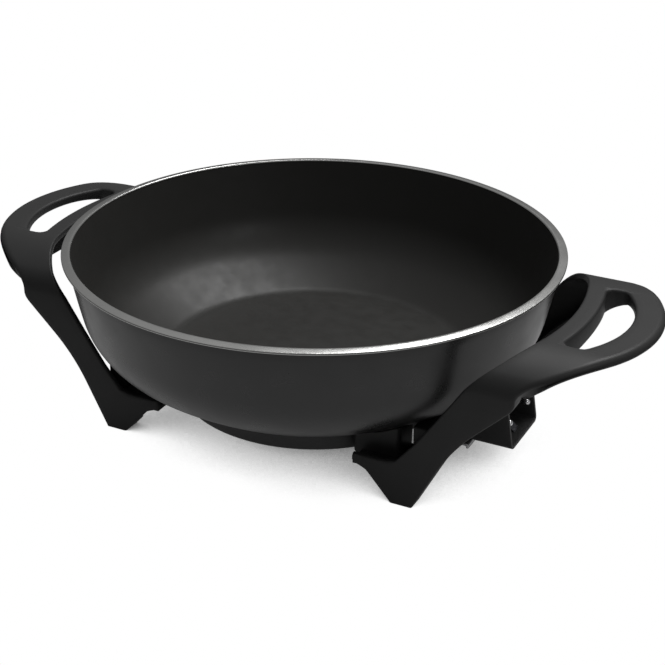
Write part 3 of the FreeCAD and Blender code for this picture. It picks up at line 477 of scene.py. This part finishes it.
SEAT_FOOT, SEAT_TOP = 22, 52
RUNNING_GAP = 0.3
FLOOR_TOP, FLOOR_DEPTH = 25.0, 2.6
below = np.concatenate([[(0, BASE - RUNNING_GAP)], bowl_side(-RUNNING_GAP)])


def under_bowl(places):
    """Height just below the bowl: its profile at the places' distance from the axis, up to a limit."""
    return np.minimum(np.interp(np.linalg.norm(places, axis=-1), below[:, 0], below[:, 1]), SEAT_TOP)


def rayed(centre, border, rings):
    """Closed shell of rings that cross the rays from a centre to the points of a border.

    A ring is (out, inset, height, drop). It lies at the distance out from the centre or, where out is None,
    at the distance inset in from the border. It stands at its height or, where that is None, by drop below
    under_bowl.
    """
    ray = border - centre
    reach = np.linalg.norm(ray, axis=1)
    rows = []
    for out, inset, height, drop in rings:
        distance = reach - inset if out is None else np.full(len(reach), out)
        places = centre + ray / reach[:, None] * distance[:, None]
        level = under_bowl(places) - drop if height is None else np.full(len(reach), height)
        rows.append(np.column_stack([places, level]))
    return np.concatenate(rows), grid_faces(len(rings), len(border), close_rows=True, close_columns=True)


def round_border(corners, radius, spacing=1.5):
    """A block's corners in plan, rounded, with points added until none are further apart than spacing."""
    line = rounded_profile(corners, [radius] * len(corners), 5)
    following = np.roll(line, -1, axis=0)
    count = np.ceil(np.linalg.norm(following - line, axis=1) / spacing).astype(int).clip(1)
    start = np.repeat(np.arange(len(line)), count)
    share = (np.arange(len(start)) - np.repeat(np.cumsum(count) - count, count)) / np.repeat(count, count)
    return line[start] + (following - line)[start] * share[:, None]


# the top edge is rounded by 1.2 mm and the foot by 0.8 mm
quarter_round = [(1 - np.cos(turn), 1 - np.sin(turn)) for turn in np.linspace(0, np.pi / 2, 5)]
edge_rings = [(None, 1.2 * inset, None, 1.2 * drop) for inset, drop in quarter_round[::-1]]
foot_rings = [(None, 0.8 * inset, SEAT_FOOT + 0.8 * drop, 0) for inset, drop in quarter_round]

# the block is bored for the screw's head, its shank and the boss, from the foot up
HEAD_BORE, SHANK_BORE, BOSS_BORE = 5.1, 2.8, 6.3
block_border = round_border([(82.5, 54), (102.5, 54), (102.5, 78), (69, 78), (69, 70.5)], 3)
block = rayed(np.array(BOSSES[0]), block_border, [
    (HEAD_BORE, None, SEAT_FOOT + 0.4, 0), (HEAD_BORE, None, 27, 0), (SHANK_BORE, None, 27, 0),
    (SHANK_BORE, None, 33.7, 0), (BOSS_BORE, None, 33.7, 0), (BOSS_BORE, None, None, 0), (8, None, None, 0),
    *edge_rings, *foot_rings, (5.5, None, SEAT_FOOT, 0)])
stay = rayed(np.array([118.5, 66]), round_border([(112, 54), (125, 54), (125, 78), (112, 78)], 1.6), [
    (0, None, None, 0), (3, None, None, 0), (5, None, None, 0), *edge_rings, *foot_rings,
    (0, None, SEAT_FOOT, 0)])

# the floor fills the gaps beside the block and the stay: one cell for each, and one between them
floor_x, floor_y = np.array([75.5, 85, 100, 112, 124.5]), np.array([54.5, 66, 78, 92])
floor_top = np.stack([*np.meshgrid(floor_x, floor_y, indexing="ij"), np.full((5, 4), FLOOR_TOP)], axis=-1)
covered = np.array([[False, False, True], [False, False, True], [True, True, True], [False, False, True]])
shelf = two_skins(floor_top, floor_top - np.array([0, 0, FLOOR_DEPTH]), grid_faces(5, 4)[covered.ravel()])
rear = [block, stay, shelf]
seats = together(rear + [moved(shell, flip=(1, -1, 1)) for shell in rear])
surface("handle_right_seats", seats, "black_moulding", "handle_right", moulding)
surface("handle_left_seats", moved(seats, flip=(-1, -1, 1)), "black_moulding", "handle_left", moulding)


# ---------------------------------------------------------------- screws and washers
# Pan-head steel screws with a pressed cross hold the handles, the cap, the element's clamp, the bracket and
# the earth strip. A plain washer spreads each handle screw's pull over the moulding.

steel = clouded("plain_steel", (0.5, 0.5, 0.51), (0.006, 3, 0.3, 0.42), (0.00001, 0.3), Metallic=1.0)
SCREW_FOOT, CAP_FOOT, STRAP_FOOT = 26, 19.5, 17.7


def screw(head, height, shank, length):
    """A pan-head screw that points up, its head hanging below the origin.

    The head's face is the low part of an ellipse over the radius. The cross is the deeper of two slots at
    right angles, each a product of two steps: one across its width, one along its length.
    """
    radius = np.concatenate([np.linspace(0, 0.98, 15) * head, [head, head, head]])
    fall = np.concatenate([-height * np.sqrt(1 - 0.7 * np.linspace(0, 0.98, 15) ** 2),
                           [-0.52 * height, -0.3 * height, 0]])
    angles = np.linspace(0, 2 * np.pi, 64, endpoint=False)
    turn = angles[:, None]
    across, along = np.abs(radius * np.cos(turn)) / head, np.abs(radius * np.sin(turn)) / head

    def slot(width, reach):
        return np.clip((0.15 - width) / 0.06 + 0.5, 0, 1) * np.clip((0.56 - reach) / 0.2 + 0.5, 0, 1)

    cross = np.maximum(slot(across, along), slot(along, across))
    face = np.stack([radius * np.cos(turn), radius * np.sin(turn), fall + 0.6 * height * cross], axis=-1)
    top = swung([(shank, 0), (shank, length - shank), (0.2 * shank, length), (0, length)], angles)
    grid = np.concatenate([face, top], axis=1)
    return grid.reshape(-1, 3), grid_faces(*grid.shape[:2], close_rows=True)


def screws(node, places, level, *sizes, point=1):
    """One piece for a node's screws, their heads' undersides at a level; point -1 sets them head up."""
    shells = [moved(screw(*sizes), (*place, level), (1, point, point)) for place in places]
    surface(f"{node}_turned", together(shells), "steel", node, steel)


screws("handle_screws", BOSSES, SCREW_FOOT, 4.5, 3, 2.5, 15)
screws("base_screws", on_circle(CAP_CIRCLE), CAP_FOOT, 3.5, 2, 1.8, 12.3)
screws("clamp_screws", on_circle(CLAMP_CIRCLE), 30.4, 3, 2, 1.6, 5.5)
screws("bracket_screws", [(116, 20), (116, -20), (86, 6), (86, -6)], STRAP_FOOT, 2.8, 1.4, 1.5, 4.3)
screws("earth_screw", [(137, 0)], 22.8, 2.4, 1.4, 1.3, 3.3, point=-1)
washer = turned([(2.8, 0), (2.6, 0.2), (2.6, 0.8), (2.8, 1), (4.3, 1), (4.5, 0.8), (4.5, 0.2), (4.3, 0)],
                close=True)
washers = together([moved(washer, (*place, SCREW_FOOT)) for place in BOSSES])
surface("handle_washers_pressed", washers, "steel", "handle_washers", steel)


# ---------------------------------------------------------------- base cap and gasket
# The cap is pressed from sheet and enamelled black. Its middle is dished for stiffness, its corner is
# round, and its wall is cut away where the inlet joins it. Three screws pull it up on to a silicone gasket.

enamel = clouded("black_enamel", (0.04, 0.04, 0.04), (0.01, 3, 0.34, 0.44), (0.00002, 0.2),
                 Specular_IOR_Level=0.3)
rubber = clouded("grey_silicone", (0.06, 0.058, 0.058), (0.006, 2, 0.52, 0.68), (0.00002, 0.4))
CAP_RADIUS, CAP_TOP, DISH, GAUGE = 97, 38.2, 20.4, 1.6
WINDOW_HALF = 22.5

# the window's edges are at whole cells of the grid: 168 cells round the wall, the others across the window
window = np.degrees(np.arcsin(WINDOW_HALF / CAP_RADIUS))
round_wall, across_window = np.linspace(window, 360 - window, 169), np.linspace(-window, window, 14)[1:-1]
turn = np.radians(np.concatenate([round_wall, across_window]))
steps = 7
corners = [(64, DISH), (68, CAP_FOOT), (CAP_RADIUS, CAP_FOOT), (CAP_RADIUS, CAP_TOP), (96.9, 38.21)]
bends = rounded_profile(corners, [0, 2, 3, 0, 0], steps)[steps:-2 * steps]
cap_outer = np.concatenate([[(0, DISH), (30, DISH)], bends, [(CAP_RADIUS, 30), (CAP_RADIUS, CAP_TOP)]])
along = np.gradient(cap_outer, axis=0)
inward = np.stack([-along[:, 1], along[:, 0]], axis=1) / np.linalg.norm(along, axis=1)[:, None]
cells = grid_faces(len(turn), len(cap_outer), close_rows=True)
in_window = np.zeros((len(turn), len(cap_outer) - 1), dtype=bool)
in_window[len(round_wall) - 1:, -2:] = True
cap = two_skins(swung(cap_outer, turn), swung(cap_outer + GAUGE * inward, turn), cells[~in_window.ravel()])
surface("base_cap_pressing", cap, "black_enamel", "base_cap", enamel)


def dressed(node, finish):
    """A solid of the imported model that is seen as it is, with a finish of its own."""
    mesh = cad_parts[node].data
    mesh.materials.clear()
    mesh.materials.append(finish)


dressed("base_gasket", rubber)


# ---------------------------------------------------------------- heating element and clamp
# The element is a tube with a steel sheath, bent into a horseshoe and held up against the bowl's flat base
# by a ring plate. Three of the screws above hold the plate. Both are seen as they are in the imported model.

sheath = clouded("element_sheath", (0.2, 0.19, 0.18), (0.008, 3, 0.42, 0.6), (0.00003, 0.5), Metallic=0.8)
dressed("heating_element", sheath)
dressed("element_clamp", steel)


# ---------------------------------------------------------------- terminals and probe socket
# Each end of the element is sealed with a ceramic bush, out of which a plated pin stands for the plug.
# Between the pins a blind steel tube takes the plug's probe. Rings each side of the shroud's back wall hold
# them.

AXIS, PIN_SIDE = 35.9, 17
SEAL_START, RETAINER_START = 127.2, 131
plated = clouded("plated_pin", (0.75, 0.75, 0.76), (0.003, 2, 0.14, 0.24), (0.000005, 0.3), Metallic=1.0)
stone = clouded("steatite", (0.78, 0.75, 0.68), (0.004, 3, 0.42, 0.6), (0.00003, 0.5))


def on_axis(profile, *across, close=True):
    """Pieces turned from a profile (radius, x), laid along X at distances from the inlet's middle plane."""
    points, faces = turned(profile, 48, close)
    return together([moved((points[:, [2, 0, 1]], faces), (0, y, AXIS)) for y in across])


dome = np.linspace(0, np.pi / 2, 9)
pin = [(0, 124), (1.9, 124), (1.9, 133.8), (2.2, 134), (2.4, 134.3)]
pin += [(2.4 * np.cos(angle), 156.6 + 2.4 * np.sin(angle)) for angle in dome]
pins = on_axis(pin, PIN_SIDE, -PIN_SIDE, close=False)
surface("terminal_pins_turned", pins, "plated_pin", "terminal_pins", plated)
bush = [(2.0, 124), (2.0, 133.4), (2.4, 134), (3.4, 134), (4.0, 133.2), (4.0, 124.3), (3.7, 124)]
surface("pin_insulators_fired", on_axis(bush, PIN_SIDE, -PIN_SIDE), "steatite", "pin_insulators", stone)
tube = [(0, 45), (3.4, 45), (4, 45.8), (4, 130.9), (4.3, 131), (5.7, 131), (6, 131.3), (6, 132.2),
        (5.7, 132.5), (4.4, 132.5), (4, 132.9), (4, 133.7), (3.8, 134), (3.4, 134), (3.1, 133.6), (3.1, 50),
        (1.5, 48), (0, 48)]
surface("probe_socket_drawn", on_axis(tube, 0, close=False), "steel", "probe_socket", steel)
ring = np.array([(4.1, 0.1), (4.1, 0.7), (4.2, 0.8), (5.0, 0.8), (5.2, 0.6), (5.2, 0.2), (5.0, 0), (4.2, 0)])
seals = on_axis(ring + (0, SEAL_START), PIN_SIDE, -PIN_SIDE)
surface("sheath_seals_cut", seals, "silicone", "sheath_seals", rubber)
retainers = on_axis(ring + (0, RETAINER_START), PIN_SIDE, -PIN_SIDE)
surface("sheath_retainers_cut", retainers, "steel", "sheath_retainers", steel)


# ---------------------------------------------------------------- inlet shroud
# The shroud is a black moulded box round the terminals, 2.5 mm thick, open to the plug with a mouth that
# leans back. Behind its back wall it is open upwards, and its sides slope down there to pass under the
# bowl.

ROOF, HALF, SHROUD_WALL, CORNER = 50.0, 25.0, 2.5, 4.0
SLOPE_START, OPEN_END, MOUTH, LEAN = 112, 132.0, 162.5, 5.0

# round the section from the middle of the roof: share of the half width, of the corner's radius across, of
# the height between the corners, and of the corner's radius upwards
bend = np.linspace(0, np.pi / 2, 6)
ends = np.ones(6)
half_way = np.concatenate([
    np.column_stack([np.linspace(0, 1, 5)[:-1], np.zeros(4), np.ones(4), np.ones(4)]),
    np.column_stack([ends, np.sin(bend), ends, np.cos(bend)]),
    np.column_stack([np.ones(4), np.ones(4), np.linspace(1, 0, 6)[1:-1], np.zeros(4)]),
    np.column_stack([ends, np.cos(bend), 0 * ends, -np.sin(bend)]),
    np.column_stack([np.linspace(1, 0, 6)[1:], np.zeros(5), np.zeros(5), -np.ones(5)])])
section = np.concatenate([half_way, half_way[-2:0:-1] * (-1, -1, 1, 1)])

# stations along X: the open part, the box, and the mouth's rounded edge
open_part = np.concatenate([[97.3, 98], np.linspace(100, 111, 4), np.linspace(SLOPE_START, OPEN_END, 11)])
stations = np.concatenate([
    open_part, [OPEN_END, 134, 140, 150, 158], MOUTH - 0.4 + 0.4 * np.sin(bend)])[:, None]
is_open = np.arange(len(stations))[:, None] < len(open_part)
inset = np.concatenate([np.zeros(len(stations) - 6), 0.4 * (1 - np.cos(bend))])[:, None]
slope_top = np.interp(stations, [SLOPE_START, OPEN_END], [38.5, ROOF])


def shroud_skin(half, foot, roof, corner):
    """Places of one skin: the section at each station along X.

    Where the box is open upwards, what would rise above the slope stays on it. The mouth leans: places beyond
    the opening move back by their share of the way to the mouth times their share of the height.
    """
    y = (half - corner) * section[:, 0] + corner * section[:, 1]
    z = foot + corner + (roof - foot - 2 * corner) * section[:, 2] + corner * section[:, 3]
    rise = np.clip(slope_top - (roof - corner), 0, corner)
    cut = half - corner + np.sqrt(np.maximum(corner ** 2 - rise ** 2, 0))
    above = is_open & (z > slope_top)
    y, z = np.where(above, np.sign(section[:, 0]) * cut, y), np.where(above, slope_top, z)
    way_out = np.clip((stations - OPEN_END) / (MOUTH - OPEN_END), 0, 1)
    back = LEAN * (z - CAP_FOOT) / (ROOF - CAP_FOOT) * way_out
    return np.stack([stations - back, y, z], axis=-1)


outer = shroud_skin(HALF - inset, CAP_FOOT + inset, ROOF - inset, CORNER)
inner = shroud_skin(HALF - SHROUD_WALL + inset, CAP_FOOT + SHROUD_WALL - inset,
                    np.where(is_open, 53, ROOF - SHROUD_WALL + inset), 1.0)
cells = grid_faces(*outer.shape[:2], close_columns=True)
roofed = np.ones((len(stations) - 1, len(section)), dtype=bool)
roofed[:len(open_part), :5] = False
roofed[:len(open_part), -5:] = False
box = two_skins(outer, inner, cells[roofed.ravel()])
panel_x = np.array([[131.0] * 4, [128.0] * 4])
panel_y = np.tile([-22.7, 22.7, 22.7, -22.7], (2, 1))
panel_z = np.tile([21.8, 21.8, 47.7, 47.7], (2, 1))
panel = (np.stack([panel_x, panel_y, panel_z], axis=-1).reshape(-1, 3),
         np.concatenate([grid_faces(2, 4, close_columns=True), [[3, 2, 1, 0], [4, 5, 6, 7]]]))
surface("inlet_shroud_moulding", together([box, panel]), "black_moulding", "inlet_shroud", moulding)


# ---------------------------------------------------------------- bracket and earth strip
# A bent steel strap under the cap and the shroud joins them, its far edge turned down for stiffness. A blued
# spring strip earths the probe's tube against the plug.

STRAP_NECK, STRAP_THICK, EARTH_THICK = 104, 1.8, 0.8
spring = clouded("blued_spring", (0.09, 0.09, 0.1), (0.004, 2, 0.25, 0.38), (0.00001, 0.3), Metallic=1.0)


def strip(under, gauge, breadths, keep=None):
    """A bent strip: a path (x, z) along its underside, its upper side a gauge away, square to the path."""
    under = np.asarray(under, dtype=float)
    along = np.gradient(under, axis=0)
    upward = np.stack([-along[:, 1], along[:, 0]], axis=1) / np.linalg.norm(along, axis=1)[:, None]
    skins = []
    for line in (under + gauge * upward, under):
        x, y = np.meshgrid(line[:, 0], breadths, indexing="ij")
        skins.append(np.stack([x, y, np.broadcast_to(line[:, 1:], x.shape)], axis=-1))
    cells = grid_faces(len(under), len(breadths))
    return two_skins(*skins, cells if keep is None else cells[keep.ravel()])


bend = np.linspace(0, np.pi / 2, 7)
fold = np.column_stack([130.7 + 0.5 * np.sin(bend), 17.2 + 0.5 * np.cos(bend)])
strap = np.concatenate([[(x, STRAP_FOOT) for x in (78, 91, STRAP_NECK, 117)], fold, [(131.2, 16)]])
breadths = np.array([-30, -21, -12, 0, 12, 21, 30])
keep = (strap[:-1, :1] >= STRAP_NECK) | (np.abs(breadths[1:] + breadths[:-1]) / 2 < 12)[None, :]
bent = strip(strap, STRAP_THICK, breadths, keep)
bracket = surface("shroud_bracket_bent", bent, "steel", "shroud_bracket", steel)
soften = bracket.modifiers.new("soften", "BEVEL")
soften.width = 0.4 * MM
soften.segments = 2
soften.angle_limit = np.radians(50)

# down the panel, round on to the shroud's floor, and over a hump that the plug presses on
hump = np.linspace(144, 156, 13)
contact = np.concatenate([
    [(131, 29.8), (131, 26)], np.column_stack([132.4 - 1.4 * np.cos(bend), 23.4 - 1.4 * np.sin(bend)]),
    [(140, 22)], np.column_stack([hump, 22 + 3.9 * np.sin(np.pi * (hump - 144) / 12) ** 2])])
earth = strip(contact, EARTH_THICK, [-4, -2, 0, 2, 4])
surface("earth_contact_sprung", earth, "blued_spring", "earth_contact", spring)


# ---------------------------------------------------------------- floor
# A pale matt floor that keeps the wok's shadow. To the camera, and in reflections, it glows by how open it
# is to the sky, with a gain for the camera, so that it is white all round the shadow. In reflections the glow
# is a painted pool of light round the wok: strong near the middle and fading out from 0.26 to 0.46 m.

REACH = 6
WHITE_GAIN = 2.5
floor_mesh = bpy.data.meshes.new("floor")
corners = [(-REACH, -REACH, 0), (REACH, -REACH, 0), (REACH, REACH, 0), (-REACH, REACH, 0)]
floor_mesh.from_pydata(corners, [], [(0, 1, 2, 3)])
floor = bpy.data.objects.new("floor", floor_mesh)
scene.collection.objects.link(floor)
pale, pale_shader = material("pale_floor", (0.7, 0.7, 0.7), Roughness=0.9, Specular_IOR_Level=0.0)
rays = add(pale, "ShaderNodeLightPath").outputs
open_sky = add(pale, "ShaderNodeAmbientOcclusion", {"Distance": 4.0})
place = add(pale, "ShaderNodeTexCoord").outputs["Object"]
from_centre = add(pale, "ShaderNodeVectorMath", {0: place}, operation="LENGTH")
# painted glow round the wok: it adds to the camera's gain, and in reflections it is the floor's only glow
painted_glow_fade = add(pale, "ShaderNodeMapRange", {"Value": from_centre.outputs["Value"], "From Min": 0.26,
                                          "From Max": 0.46, "To Min": 0.75, "To Max": 0.1})
gain = add(pale, "ShaderNodeMath", {0: rays["Is Camera Ray"], 1: WHITE_GAIN, 2: painted_glow_fade.outputs["Result"]},
           operation="MULTIPLY_ADD")
glow = add(pale, "ShaderNodeMath", {0: open_sky.outputs["AO"], 1: gain.outputs["Value"]},
           operation="MULTIPLY", use_clamp=True)
white = add(pale, "ShaderNodeEmission", {"Strength": glow.outputs["Value"]})
direct = add(pale, "ShaderNodeMath", {0: rays["Is Camera Ray"], 1: rays["Is Glossy Ray"]}, operation="ADD")
seen = add(pale, "ShaderNodeMath", {0: direct.outputs["Value"], 1: rays["Is Transmission Ray"]},
           operation="ADD", use_clamp=True)
both = add(pale, "ShaderNodeMixShader", {0: seen.outputs["Value"], 1: pale_shader.outputs["BSDF"],
                                         2: white.outputs["Emission"]})
pale.node_tree.links.new(both.outputs["Shader"], pale.node_tree.nodes["Material Output"].inputs["Surface"])
floor_mesh.materials.append(pale)


# ---------------------------------------------------------------- surround and lamps
# A white surround, dim to all but the camera and brighter towards the top, a large softbox above and behind
# the wok, and a small one at its right.

world = bpy.data.worlds.new("studio")
scene.world = world
world.use_nodes = True
sky = world.node_tree.nodes["Background"]
sky.inputs["Color"].default_value = (1, 1, 1, 1)
upwards = add(world, "ShaderNodeTexCoord").outputs["Generated"]
rise = add(world, "ShaderNodeVectorMath", {0: upwards, 1: (0.0, 0.05, 0.35)}, operation="DOT_PRODUCT")
dim = add(world, "ShaderNodeMath", {0: rise.outputs["Value"], 1: 0.1}, operation="ADD")
to_camera = add(world, "ShaderNodeLightPath").outputs["Is Camera Ray"]
strength = add(world, "ShaderNodeMath", {0: to_camera, 1: dim.outputs["Value"]}, operation="MAXIMUM")
world.node_tree.links.new(strength.outputs["Value"], sky.inputs["Strength"])

# place, target, side of the square in metres, and watts
lamps = {
    "top_softbox": ((0.28, 0.9, 1.9), (0, 0, 0.1), 1.1, 39),
    "right_softbox": ((1.64, -0.56, 1.1), (0, 0, 0.1), 0.4, 3.2),
}
for name, (place, target, size, watts) in lamps.items():
    lamp = bpy.data.objects.new(name, bpy.data.lights.new(name, "AREA"))
    lamp.data.size = size
    lamp.data.energy = watts
    back = np.array(place) - np.array(target)
    back = back / np.linalg.norm(back)
    across = np.cross([0.01, 1, 0.01], back)
    across = across / np.linalg.norm(across)
    stand(lamp, across, np.cross(back, across), back, place)
    scene.collection.objects.link(lamp)
